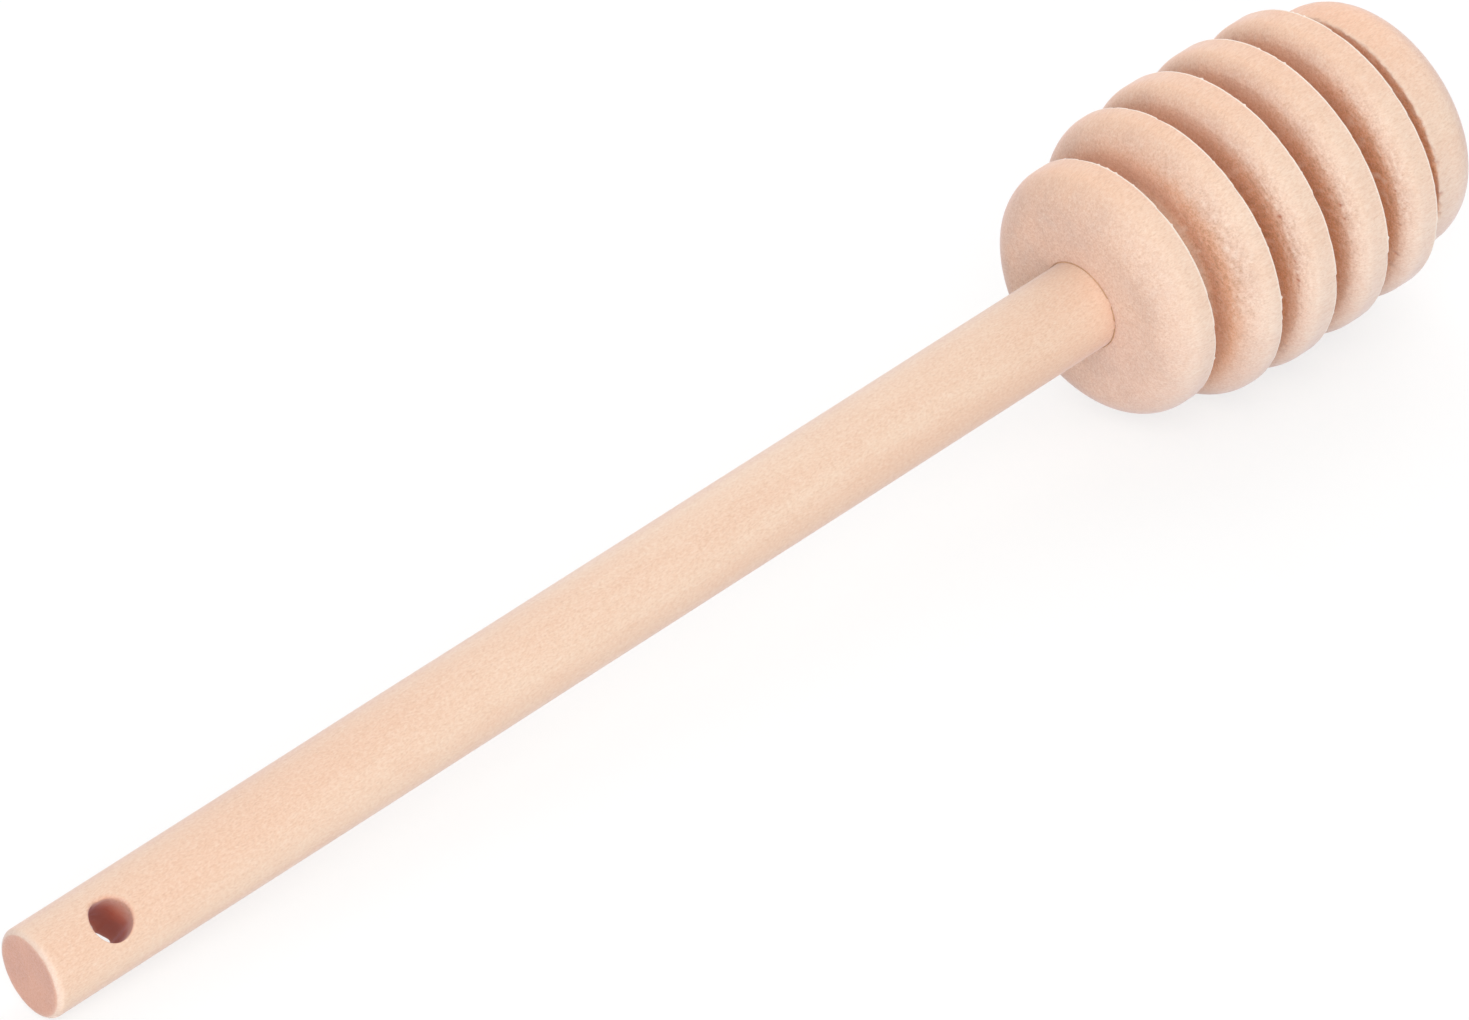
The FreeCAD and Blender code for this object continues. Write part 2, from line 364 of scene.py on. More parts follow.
def turned_faces(rows, columns):
    """Faces of rows wound round the axis, closed by the two points that come after them."""
    grid = np.arange(rows * columns).reshape(rows, columns)
    faces = [quad for one, other in zip(grid[:-1], grid[1:]) for quad in strip(one, other)]
    return faces + fan(grid[0], grid.size) + fan(grid[-1], grid.size + 1)


def add_object(name, data):
    """A new object in the scene."""
    item = bpy.data.objects.new(name, data)
    bpy.context.scene.collection.objects.link(item)
    return item


def add_piece(name, points, faces, material, node, marks):
    """A smooth mesh piece, made in the dipper's own frame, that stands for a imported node.
    Marks are shares at the points that its material reads."""
    mesh = bpy.data.meshes.new(name)
    mesh.from_pydata(points.tolist(), [], faces)
    mesh.validate()
    mesh.transform(POSE)
    shell = bmesh.new()
    shell.from_mesh(mesh)
    bmesh.ops.recalc_face_normals(shell, faces=shell.faces)
    shell.to_mesh(mesh)
    shell.free()
    for mark, shares in marks.items():
        mesh.attributes.new(mark, "FLOAT", "POINT").data.foreach_set("value", shares)
    mesh.polygons.foreach_set("use_smooth", [True] * len(mesh.polygons))
    mesh.materials.append(material)
    mesh.update()
    piece = add_object(name, mesh)
    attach(piece, "root")
    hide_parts(node)


# Materials

# How long each layer of the grain is along the fibres and across them, in millimetres. Real fibres, pores
# and grit are a few hundredths across, too fine to show, so they are drawn as coarse as they need to show.
GRAIN_SIZES = {
    "tone": (60, 6),
    "ring": (110, 1.8),
    "blotch": (4, 3),
    "mottle": (0.4, 0.25),
    "fibre": (2.4, 0.2),
    "pore": (1.1, 0.12),
    "grit": (0.17, 0.17),
    "speck": (0.3, 0.1),
}

# Shares that a piece's mesh holds at its points
MARKS = ("torn", "stroke", "worn", "painted_slot_shade", "browned", "pit_shading", "blushed", "painted_lit_side", "painted_bounce_underside")

# Patterns: the level that each follows, where it starts, where it is full, and its share there
PATTERNS = {
    "tone": ("tone", 0.35, 0.65, 1.0),
    "ring": ("ring", 0.45, 0.7, 0.5),
    "blotch": ("blotch", 0.45, 0.75, 0.5),
    "dim": ("mottle", 0.45, 0.8, 0.24),
    "bright": ("mottle", 0.55, 0.2, 0.2),
    "fibre": ("fibre", 0.5, 0.75, 0.26),
    "pore": ("pore", 0.7, 0.8, 0.3),
    "grit": ("grit", 0.5, 0.7, 0.42),
    "speck": ("speck", 0.5, 0.75, 0.22),
    "glint": ("speck", 0.5, 0.25, 0.25),
    "cut": ("ends", 0.3, 1.0, 0.75),
    "zone": ("tone", 0.45, 0.65, 0.5),
    "open": ("grit", 0.5, 0.7, 0.32),
    "burst": ("grit", 0.5, 0.3, 0.28),
    "gouged": ("stroke", 0.0, 1.0, 0.4),
    "lifted": ("stroke", 0.0, -1.0, 0.38),
}

# Patterns that show only as far as another one or a mark does
MASKED = {
    "rough": ("grit", "torn"),
    "cut_blotch": ("blotch", "cut"),
    "cut_zone": ("zone", "cut"),
    "cut_open": ("open", "cut"),
    "cut_burst": ("burst", "cut"),
}

# Tints from the lowest up: the pattern or mark that each follows, and its colour
TINTS = (
    ("tone", "blush"), ("ring", "blush"), ("blotch", "blush"),
    ("blushed", "rose"), ("painted_lit_side", "worn"), ("painted_bounce_underside", "bounce_tint"),
    ("cut", "end_grain"), ("cut_blotch", "dust"), ("cut_zone", "dust"),
    ("painted_slot_shade", "painted_slot_shade"), ("cut_open", "pore"), ("cut_burst", "worn"),
    ("dim", "fibre"), ("bright", "worn"), ("fibre", "fibre"),
    ("speck", "pore"), ("glint", "worn"), ("pore", "pore"),
    ("rough", "pore"), ("browned", "browned"), ("gouged", "pore"),
    ("lifted", "worn"), ("pit_shading", "pit"), ("worn", "worn"),
)


def add_node(tree, kind, inputs, **settings):
    """A node with its settings; an input is a value, or an output to link from."""
    node = tree.nodes.new(kind)
    for name, value in settings.items():
        setattr(node, name, value)
    for socket, source in inputs.items():
        if isinstance(source, bpy.types.NodeSocket):
            tree.links.new(source, node.inputs[socket])
        else:
            node.inputs[socket].default_value = source
    return node


def new_material(name):
    """An empty material and its node tree."""
    material = bpy.data.materials.new(name)
    material.use_nodes = True
    material.node_tree.nodes.clear()
    return material, material.node_tree


def solid(rgb):
    """A colour with full alpha."""
    return [*rgb, 1.0]


def wood_levels(tree, seed):
    """What the patterns follow: layers of grain, how square the fibres are cut, and marks."""
    place = add_node(tree, "ShaderNodeTexCoord", {})
    own_place = add_node(tree, "ShaderNodeMapping", {
        "Vector": place.outputs["Object"],
        "Rotation": (0, TILT, 0),
        "Location": INTO_POSE.translation,
    })
    levels = {}
    for layer, (along, across) in GRAIN_SIZES.items():
        scale = [1 / (size * MM) for size in (along, across, across)]
        inputs = {0: own_place.outputs[0], 1: scale}
        stretched = add_node(tree, "ShaderNodeVectorMath", inputs, operation="MULTIPLY")
        inputs = {"Vector": stretched.outputs[0], "W": seed, "Scale": 1.0, "Detail": 3.0}
        levels[layer] = add_node(tree, "ShaderNodeTexNoise", inputs, noise_dimensions="4D").outputs["Fac"]
    inputs = {0: place.outputs["Normal"], 1: AXIS}
    slope = add_node(tree, "ShaderNodeVectorMath", inputs, operation="DOT_PRODUCT")
    ends = add_node(tree, "ShaderNodeMath", {0: slope.outputs["Value"]}, operation="ABSOLUTE")
    levels["ends"] = ends.outputs[0]
    for mark in MARKS:
        levels[mark] = add_node(tree, "ShaderNodeAttribute", {}, attribute_name=mark).outputs["Fac"]
    return levels


def wood_shares(tree, levels):
    """How far each pattern and mark of the wood shows."""
    shares = {mark: levels[mark] for mark in MARKS}
    for pattern, (level, start, full, share) in PATTERNS.items():
        spread = add_node(tree, "ShaderNodeMapRange", {0: levels[level], 1: start, 2: full, 4: share})
        shares[pattern] = spread.outputs[0]
    for pattern, (shown, mask) in MASKED.items():
        inputs = {0: shares[shown], 1: shares[mask]}
        shares[pattern] = add_node(tree, "ShaderNodeMath", inputs, operation="MULTIPLY").outputs[0]
    return shares


def wood_material(name, settings, seed):
    """Beech, turned and then sanded, with no finish."""
    # It is pale and dull to the eye, with faint growth rings, short fibres, dark pore dashes, duller
    # end grain, rough torn strokes and a faint sheen of loose fibre tips
    material, tree = new_material(name)
    levels = wood_levels(tree, seed)
    shares = wood_shares(tree, levels)
    base = solid(settings.cream)
    for pattern, tint in TINTS:
        inputs = {0: shares[pattern], 6: base, 7: solid(getattr(settings, tint))}
        base = add_node(tree, "ShaderNodeMix", inputs, data_type="RGBA").outputs[2]
    height = levels["fibre"]
    for pattern in ("pore", "rough", "dim"):
        inputs = {0: height, 1: shares[pattern]}
        height = add_node(tree, "ShaderNodeMath", inputs, operation="SUBTRACT").outputs[0]
    bump = add_node(tree, "ShaderNodeBump", {"Strength": 0.6, "Distance": 0.06 * MM, "Height": height})
    shader = add_node(tree, "ShaderNodeBsdfPrincipled", {
        "Base Color": base,
        "Roughness": settings.roughness,
        "IOR": 1.5,
        "Specular IOR Level": 0.3,
        "Sheen Weight": 0.5,
        "Sheen Tint": solid(settings.fuzz),
        "Sheen Roughness": 0.4,
        "Normal": bump.outputs[0],
    })
    add_node(tree, "ShaderNodeOutputMaterial", {0: shader.outputs[0]})
    return material


def glue_material(settings):
    """Wood glue that was squeezed out thin and cured."""
    # It is an amber film to the eye, a little shiny, and darker where it pooled
    material, tree = new_material("cured_wood_glue")
    place = add_node(tree, "ShaderNodeTexCoord", {})
    inputs = {"Vector": place.outputs["Object"], "Scale": 1 / settings.pool_size}
    pools = add_node(tree, "ShaderNodeTexNoise", inputs)
    pooled = add_node(tree, "ShaderNodeMapRange", {0: pools.outputs["Fac"], 1: 0.3, 2: 0.7})
    dark = [0.7 * share for share in settings.amber]
    inputs = {0: pooled.outputs[0], 6: solid(settings.amber), 7: solid(dark)}
    mixed = add_node(tree, "ShaderNodeMix", inputs, data_type="RGBA")
    shader = add_node(tree, "ShaderNodeBsdfPrincipled", {"Base Color": mixed.outputs[2], "Roughness": 0.4})
    add_node(tree, "ShaderNodeOutputMaterial", {0: shader.outputs[0]})
    return material


# The handle

def hole_points(turn, radius, side, depth):
    """Points of the hole at angles round it, that far from its axis and that deep below the surface.
    The side is 1 for the mouth that the camera sees, and -1 for the other one."""
    first = (Vector((1, 0, 0)) - HOLE_AXIS * HOLE_AXIS.x).normalized()
    second = HOLE_AXIS.cross(first)
    straight_in = np.array(HOLE_AXIS)
    spoke = np.outer(np.cos(turn), first) + np.outer(np.sin(turn), second)
    foot = np.array(HOLE_PLACE) + spoke * np.broadcast_to(radius, turn.shape)[:, None]
    slant = (straight_in[1:] ** 2).sum()
    lean = foot[:, 1:] @ straight_in[1:]
    rest = (foot[:, 1:] ** 2).sum(axis=1) - HANDLE_RADIUS ** 2
    rise = (-lean + side * np.sqrt(lean ** 2 - slant * rest)) / slant
    return foot + (rise - side * depth)[:, None] * straight_in


HANDLE_COLUMNS = 128
# The patch round each mouth: half its columns and rows, its rows' spacing and its loops' places
PATCH_COLUMNS = 14
PATCH_ROWS = 16
PATCH_ROW = 0.2 * MM
PATCH_SHARES = (0.2, 0.4, 0.6, 0.8, 0.93)
RIM_LOOPS = 6
WALL_LOOPS = 12
# How the rim's wear wanders and leans to a side in degrees, and how broad its bumps are in radians
WEAR_WANDER = 0.35
WEAR_LEAN = 0.7
WEAR_SIDE = 60
BUMP_BREADTH = 0.22
# Painted shade in the hole: how brown each rim is, and how far in the wall it is all brown
RIM_HOLE_SHADES = {1: 0.3, -1: 0.8}
FULL_HOLE_SHADE = 0.35
WALL_TEAR = 0.3
WALL_SCRATCH = 0.02
# The butt's pale edge, and how far into its rounding it is
BUTT_PALENESS = 0.28
BUTT_BREADTH = 0.35 * MM
BUTT_INSET = 0.3
# The butt's saw cut: its burn, its marks, and how far its slope reaches
SAW_BURN = 0.35
BURN_DEPTH = 0.05 * MM
SAW_DEPTH = 0.02 * MM
SLOPE_REACH = 4 * MM
# Browning of the dowel next to the head, and its side in degrees round the axis
SEAM_BROWNING = 0.12
BROWNING_SIDE = 75


class MakeHandle(bpy.types.Operator):
    """Build the dowel handle with its hanging hole"""

    bl_idname = "dipper.make_handle"
    bl_label = "Make Handle"

    def execute(self, context):
        settings = context.scene.dipper.handle
        self.points = []
        self.faces = []
        self.marks = {"torn": [], "worn": [], "browned": []}
        self.count = 0
        turn = math.atan2(-HOLE_AXIS.y, HOLE_AXIS.z) + evenly(HANDLE_COLUMNS)
        profile, first_row = self.profile(settings)
        grid = np.stack([self.add_row(settings, turn, along, radius) for along, radius in profile])
        self.cover(grid, first_row)
        self.close_ends(grid)
        rims = [self.mouth(settings, grid, first_row, side) for side in (1, -1)]
        self.wall(*rims)
        points = np.concatenate(self.points)
        self.weather(settings, points)
        material = wood_material("sanded_beech_handle", context.scene.dipper.wood, HANDLE_GRAIN)
        marks = {mark: np.concatenate(shares) for mark, shares in self.marks.items()}
        add_piece("handle_dowel", points, self.faces, material, "handle", marks)
        return {"FINISHED"}

    def add(self, points, **shares):
        """Keep points with their marks, and give their numbers."""
        self.points.append(points)
        for mark, kept in self.marks.items():
            kept.append(np.full(len(points), shares.get(mark, 0.0)))
        self.count += len(points)
        return np.arange(self.count - len(points), self.count)

    def add_loop(self, loop, points, **shares):
        """Keep a loop with the faces from the one before it, and give its numbers."""
        following = self.add(points, **shares)
        self.faces += strip(loop, following)
        return following

    def add_row(self, settings, turn, along, radius):
        """A row round the dowel, with its paleness, its burn and its browning next to the head."""
        inset = BUTT_INSET * settings.butt_rounding
        from_edge = math.dist((along, radius), (inset, HANDLE_RADIUS - inset))
        worn = BUTT_PALENESS * nearness(from_edge, BUTT_BREADTH)
        seam_browning = SEAM_BROWNING * nearness(HEAD_START - along, settings.browning_reach)
        browned = SAW_BURN * (along < BURN_DEPTH) + seam_browning * toward(turn, BROWNING_SIDE) ** 6
        return self.add(round_axis(along, turn, radius), worn=worn, browned=browned)

    def profile(self, settings):
        """The outline from the butt to the tenon's end, and the row where the hole's patch starts."""
        side = HANDLE_RADIUS
        rounding = settings.butt_rounding
        chamfer = settings.tenon_chamfer
        inner = side - rounding
        patch = PATCH_ROWS * PATCH_ROW
        # The last value of each stretch or corner is how far apart the rows are from there on
        before = [
            straight((0, 0.15 * MM), (0, inner), 0.25 * MM),
            rounded((0, inner), (rounding, side), (rounding, inner), 0.08 * MM),
            straight((rounding, side), (HOLE_PLACE.x - patch, side), 0.3 * MM),
        ]
        corners = [
            (HOLE_PLACE.x - patch, side, PATCH_ROW),
            (HOLE_PLACE.x + patch, side, 0.8 * MM),
            (HEAD_START - 2 * settings.browning_reach, side, 0.25 * MM),
            (HEAD_START, side, 2 * MM),
            (TENON_END - chamfer, side, 0.4 * MM),
            (TENON_END, side - chamfer, 0.8 * MM),
            (TENON_END, 0, 0),
        ]
        after = [straight(one[:2], other[:2], one[2]) for one, other in zip(corners, corners[1:])]
        return np.concatenate(before + after), sum(len(stretch) for stretch in before)

    def cover(self, grid, first_row):
        """Faces of the dowel's surface, apart from the patches."""
        quads = np.stack([strip(one, other) for one, other in zip(grid[:-1], grid[1:])])
        keep = np.ones(quads.shape[:2], bool)
        rows = slice(first_row, first_row + 2 * PATCH_ROWS)
        for middle in (0, HANDLE_COLUMNS // 2):
            columns = np.arange(middle - PATCH_COLUMNS, middle + PATCH_COLUMNS) % HANDLE_COLUMNS
            keep[rows, columns] = False
        self.faces += quads[keep].tolist()

    def close_ends(self, grid):
        """Faces that close the middle of the butt and of the tenon's end."""
        for loop, along in ((grid[0], 0.0), (grid[-1], TENON_END)):
            pole = self.add(np.array([[along, 0.0, 0.0]]))
            self.faces += fan(loop, int(pole[0]))

    def border(self):
        """Rows and columns of a patch's border, counted from its middle, in order round it."""
        tall, wide = PATCH_ROWS, PATCH_COLUMNS
        walk = [(tall, column) for column in range(-wide, wide)]
        walk += [(row, wide) for row in range(tall, -tall, -1)]
        walk += [(-tall, column) for column in range(wide, -wide, -1)]
        walk += [(row, -wide) for row in range(-tall, tall)]
        return np.roll(walk, -wide, axis=0).T

    def rim(self, settings, turn, side):
        """How far a mouth's rim is rounded off by wear, and how far it stands into the hole."""
        wander = 1 + WEAR_WANDER * lumps(spokes(turn), "hole_rim", side)
        lean = 1 + WEAR_LEAN * np.cos(turn - math.radians(WEAR_SIDE))
        fibres = (settings.exit_bump, settings.exit_bump_turn)
        chip = (-settings.exit_chip, settings.exit_chip_turn)
        bumps = [(settings.rim_bump, settings.rim_bump_turn)] if side > 0 else [fibres, chip]
        bump = sum(size * nearness(apart(turn, place), BUMP_BREADTH) for size, place in bumps)
        return settings.rim_wear * wander * lean, bump

    def mouth(self, settings, grid, first_row, side):
        """A mouth of the hole and its rim, rounded off by wear; gives its innermost loop."""
        rows, columns = self.border()
        turn = evenly(len(rows))
        wear, bump = self.rim(settings, turn, side)
        middle = 0 if side > 0 else HANDLE_COLUMNS // 2
        loop = grid[first_row + PATCH_ROWS + rows, (middle - side * columns) % HANDLE_COLUMNS]
        outer = np.concatenate(self.points)[loop]
        outer_turn = np.unwrap(np.arctan2(-outer[:, 1], outer[:, 2]))
        inner = hole_points(turn, HOLE_RADIUS + wear - bump, side, 0 * turn)
        inward = apart(np.arctan2(-inner[:, 1], inner[:, 2]), outer_turn)
        for share in PATCH_SHARES:
            along = outer[:, 0] + share * (inner[:, 0] - outer[:, 0])
            loop = self.add_loop(loop, round_axis(along, outer_turn + share * inward, HANDLE_RADIUS))
        for tip in np.linspace(0, FULL_TURN / 4, RIM_LOOPS):
            radius = HOLE_RADIUS - bump + wear * (1 - math.sin(tip))
            points = hole_points(turn, radius, side, wear * (1 - math.cos(tip)))
            # Painted shade, growing as the rim turns into the hole
            loop = self.add_loop(loop, points, browned=RIM_HOLE_SHADES[side] * math.sin(tip))
        return loop

    def wall(self, near, far):
        """The drilled wall between the two mouths, with painted shade that grows browner inside."""
        points = np.concatenate(self.points)
        loop = near
        for share in np.linspace(0, 1, WALL_LOOPS + 2)[1:-1]:
            wall = (1 - share) * points[near] + share * points[far]
            middle = wall.mean(axis=0)
            scratch = lumps(wall, "hole_wall")[:, None]
            wall = middle + (wall - middle) * (1 + WALL_SCRATCH * scratch)
            hole_shade = RIM_HOLE_SHADES[1] + (1 - RIM_HOLE_SHADES[1]) * ramp(share, 0, FULL_HOLE_SHADE)
            loop = self.add_loop(loop, wall, torn=WALL_TEAR, browned=hole_shade)
        self.faces += strip(loop, far)

    def weather(self, settings, points):
        """Lean and roughen the saw cut, and leave the dowel a little out of round."""
        near_butt = ramp(points[:, 0], SLOPE_REACH, 0) ** 2
        saw = lumps(points, "saw_cut") * SAW_DEPTH
        sanding = lumps(points, "sanded_dowel") * settings.unevenness
        points[:, 0] += near_butt * (math.tan(settings.butt_slope) * points[:, 1] + saw)
        points[:, 1:] *= 1 + sanding[:, None] / HANDLE_RADIUS


# The head

# Spacing of rows from crisp edges to hidden surfaces, and how deep a slot's wall shows
CRISP = 0.07 * MM
FINE = 0.15 * MM
PLAIN = 0.32 * MM
COARSE = 1.6 * MM
SEEN_DEPTH = 1.4 * MM


def ring_front(settings, ring, last, slot):
    """Where a ring's front is, and how far its rounding goes along the crest and falls."""
    if ring == 0:
        return HEAD_START, settings.end_rounding, settings.end_rounding
    if ring == 1:
        return slot + settings.slot_width, settings.second_rounding, settings.second_rounding
    if ring == last:
        return slot + settings.last_slot_width, settings.last_edge_rounding, settings.last_edge_rounding
    return slot + settings.slot_width, settings.front_round_length, settings.front_round_drop


def head_profile(settings):
    """The turned outline from the socket's bottom over the rings to the far end, each crisp edge as
    its place, radius and slot's direction, and each front arris as its place and radius."""
    crests = [settings.end_ring_diameter / 2, settings.second_ring_diameter / 2, MIDDLE_RADIUS]
    crests = crests + crests[::-1]
    last = len(crests) - 1
    core = settings.core_diameter / 2
    lip = settings.back_rounding
    end = settings.end_rounding
    far = HEAD_END - end
    inside = HEAD_START + settings.mouth_rounding
    mouth = SOCKET_RADIUS + settings.mouth_rounding
    stretches = [
        straight((SOCKET_END, COARSE), (SOCKET_END, SOCKET_RADIUS), COARSE),
        straight((SOCKET_END, SOCKET_RADIUS), (inside, SOCKET_RADIUS), 3 * COARSE),
        rounded((inside, SOCKET_RADIUS), (HEAD_START, mouth), (inside, mouth), CRISP),
        straight((HEAD_START, mouth), (HEAD_START, crests[0] - end), 2 * PLAIN),
    ]
    edges = []
    arrises = []
    for ring, crest in enumerate(crests):
        back = HEAD_START + settings.first_ring_width + ring * settings.ring_pitch
        slot = back - settings.ring_pitch
        front, run, drop = ring_front(settings, ring, last, slot)
        foot = crest - drop
        if ring > 0:
            stretches += [
                straight((slot, core), (front, core), COARSE),
                straight((front, core), (front, foot - SEEN_DEPTH), COARSE),
                straight((front, foot - SEEN_DEPTH), (front, foot), PLAIN),
            ]
        top = front + run
        radius = (run ** 2 + drop ** 2) / (2 * drop)
        spacing = FINE if ring > 1 else 2 * FINE
        stretches.append(rounded((front, foot), (top, crest), (top, crest - radius), spacing))
        if ring < last:
            stretches += [
                straight((top, crest), (back - lip - FINE, crest), PLAIN),
                straight((back - lip - FINE, crest), (back - lip, crest), CRISP),
                rounded((back - lip, crest), (back, crest - lip), (back - lip, crest - lip), CRISP),
                straight((back, crest - lip), (back, core), COARSE),
            ]
            edges.append((back, crest, 1))
        if 1 < ring < last:
            arrises.append((front, foot))
    edges.append((front, crest, -1))
    stretches += [
        straight((top, crest), (far, crest), PLAIN),
        rounded((far, crest), (HEAD_END, crest - end), (far, crest - end), 2 * PLAIN),
        straight((HEAD_END, crest - end), (HEAD_END, 0), COARSE),
    ]
    return np.concatenate(stretches), edges, arrises


HEAD_COLUMNS = 420
# Torn fibres: the side in degrees, the shares on other sides, outside the slots and beside steep walls,
# the slopes where tearing starts and is full, and the slope of a wall
TORN_SIDE = 60
TORN_LEAST = 0.12
TORN_OUTSIDE = 0.1
TORN_BESIDE = 0.8
TORN_SLOPES = (0.21875, 0.84375)
WALL_SLOPE = 0.98
# Levels of the pattern where a tool stroke starts and is full
STROKE_LEVELS = (0.2, 0.2 + 1 / 3)
# How broadly corners are changed
EDGE_BREADTH = 0.2 * MM
SLIVER_BREADTH = 0.12 * MM
ARRIS_BREADTH = 0.4 * MM
# How strong the pale wear and painted highlight along edges are, how strong and more bitten the last is,
# and where they start and are full
EDGE_WEAR_HIGHLIGHT = 0.85
LAST_WEAR_HIGHLIGHT = 0.3
LAST_BITES = 3
WEAR_HIGHLIGHT_REACH = (0.25 * MM, 0.15 * MM)
# Least and most of a bite's place, breadth and share, and of a loose fibre's place and share
BITES = ((0, 0.03, 0.2), (FULL_TURN, 0.15, 1.0))
SLIVERS = ((0, 0.3), (FULL_TURN, 1.0))
# Mean and spread of the pits' place in degrees to either side, and ranges of their breadth and shade
PIT_SIDES = (70, 25)
PIT_BREADTHS = (0.08 * MM, 0.22 * MM)
PIT_SHADES = (0.4, 0.9)
# Painted warm shade in the first slots and the later ones, where it starts and is full, and its share on
# the floors
SLOT_SHADE_SHARES = (0.5, 0.76)
SLOT_SHADE_DEPTHS = (-0.5 * MM, 1.5 * MM)
FLOOR_SLOT_SHADE = 0.6
FLOOR_REACH = 0.5 * MM
# Painted slot shade all round, and what is added on a side in degrees
SLOT_SHADE_ROUND = 0.5
SLOT_SHADE_MORE = 0.8
SLOT_SHADE_SIDE = 90
# Tints towards sides of the head: a rosier one, a painted lit side and painted cool bounce light below;
# the side of each in degrees, and its share there
TONES = {"blushed": (-35, 0.55), "painted_lit_side": (75, 0.2), "painted_bounce_underside": (160, 0.4)}
LAST_BLUSH = 0.85


class MakeHead(bpy.types.Operator):
    """Build the turned head with its rings and honey slots"""

    bl_idname = "dipper.make_head"
    bl_label = "Make Head"

    def execute(self, context):
        self.sizes = context.scene.dipper.head
        self.chance = np.random.default_rng(TEAR_SEED)
        self.turn = evenly(HEAD_COLUMNS) - math.pi
        profile, edges, arrises = head_profile(self.sizes)
        self.along, self.radius = profile[:, :1], profile[:, 1:]
        self.outward = facing(profile)
        torn = self.torn()
        strokes = self.strokes() * torn
        forward, away = self.uneven(strokes)
        worn = self.roughen_edges(edges, forward, away)
        self.wear_arrises(arrises, forward, away)
        points = round_axis(self.along + forward, self.turn, self.radius + away)
        marks = {
            "torn": torn,
            "stroke": strokes,
            "worn": worn,
            "painted_slot_shade": self.painted_slot_shade(),
            "pit_shading": self.pits(points, arrises + edges[-1:]),
            **self.tones(edges[-1][0]),
        }
        for mark, shares in marks.items():
            marks[mark] = np.append(np.broadcast_to(shares, torn.shape), [0, 0])
        points = np.concatenate([points.reshape(-1, 3), [(SOCKET_END, 0, 0), (HEAD_END, 0, 0)]])
        faces = turned_faces(len(profile), HEAD_COLUMNS)
        material = wood_material("turned_beech_head", context.scene.dipper.wood, HEAD_GRAIN)
        add_piece("turned_head", points, faces, material, "dipper_head", marks)
        return {"FINISHED"}

    def in_slots(self):
        """Which rows lie from the middle of the first ring to the rounded far end."""
        first_half = HEAD_START + self.sizes.first_ring_width / 2
        return (self.along > first_half) & (self.along < HEAD_END - self.sizes.end_rounding)

    def from_corner(self, place, radius):
        """How far each row of the outline is from a corner of it."""
        return np.hypot(self.along - place, self.radius - radius)

    def torn(self):
        """How torn the fibres are: most where the tool cut across them, on two sides."""
        swing = np.cos(self.turn - math.radians(TORN_SIDE)) ** 4
        slope = np.abs(self.outward[:, :1])
        across = ramp(slope, *TORN_SLOPES) * np.where(self.in_slots(), 1.0, TORN_OUTSIDE)
        across = across * np.where(slope > WALL_SLOPE, 1.0, TORN_BESIDE)
        return across * (TORN_LEAST + (1 - TORN_LEAST) * swing)

    def strokes(self):
        """The tool's strokes, from -1 where they stand up to 1 where they are sunk."""
        wound = np.stack(np.broadcast_arrays(self.along, self.turn * MIDDLE_RADIUS, self.radius), axis=-1)
        pattern = lumps(wound, "tool_stroke")
        return np.sign(pattern) * ramp(np.abs(pattern), *STROKE_LEVELS)

    def uneven(self, strokes):
        """How far strokes and sanding move each point along the axis and away."""
        sunk = np.clip(strokes, 0, None) * self.sizes.torn_depth
        surface = round_axis(self.along, self.turn, self.radius)
        sanding = lumps(surface, "sanded_head") * self.sizes.unevenness
        return self.outward[:, :1] * -sunk, self.outward[:, 1:] * (sanding - sunk)

    def roughen_edges(self, edges, forward, away):
        """Roughen, bite and fray the crisp edges; gives each row's pale wear and painted highlight."""
        worn = 0
        for place, crest, slot_side in edges:
            last = slot_side < 0
            corner = self.from_corner(place, crest)
            near = nearness(corner, EDGE_BREADTH)
            roughness = self.sizes.last_edge_roughness if last else self.sizes.edge_roughness
            ragged = lumps(round_axis(place, self.turn, crest), "ring_edge") * roughness
            bites = self.bites() * (LAST_BITES if last else 1)
            forward += slot_side * near * (ragged - bites)
            forward += slot_side * nearness(corner, SLIVER_BREADTH) * self.slivers()
            away -= near * bites
            edge_wear_highlight = LAST_WEAR_HIGHLIGHT if last else EDGE_WEAR_HIGHLIGHT
            # Pale wear and a painted highlight, brightest right at the edge
            worn = np.maximum(worn, edge_wear_highlight * ramp(corner, *WEAR_HIGHLIGHT_REACH))
        return worn

    def bites(self):
        """How deep an edge is bitten: a bite starts steeply and runs out along the edge."""
        depth = np.zeros(HEAD_COLUMNS)
        for _ in range(self.sizes.bite_count):
            place, breadth, share = self.chance.uniform(*BITES)
            ahead = (self.turn - place) % FULL_TURN
            depth = np.maximum(depth, share ** 2 * ramp(ahead, breadth, 0))
        return depth * self.sizes.bite_depth

    def slivers(self):
        """How far loose fibres stick out of an edge, each as a narrow tip."""
        tips = np.zeros(HEAD_COLUMNS)
        for _ in range(self.sizes.sliver_count):
            place, share = self.chance.uniform(*SLIVERS)
            tips[int(place / FULL_TURN * HEAD_COLUMNS)] = share * self.sizes.sliver_length
        return tips

    def wear_arrises(self, arrises, forward, away):
        """Take back the arris of each ring's front, unevenly."""
        for place, foot in arrises:
            ragged = lumps(round_axis(place, self.turn, foot), "ring_arris")
            shift = ragged * self.sizes.arris_roughness - self.sizes.arris_wear
            shift = shift * nearness(self.from_corner(place, foot), ARRIS_BREADTH)
            forward -= shift
            away += shift

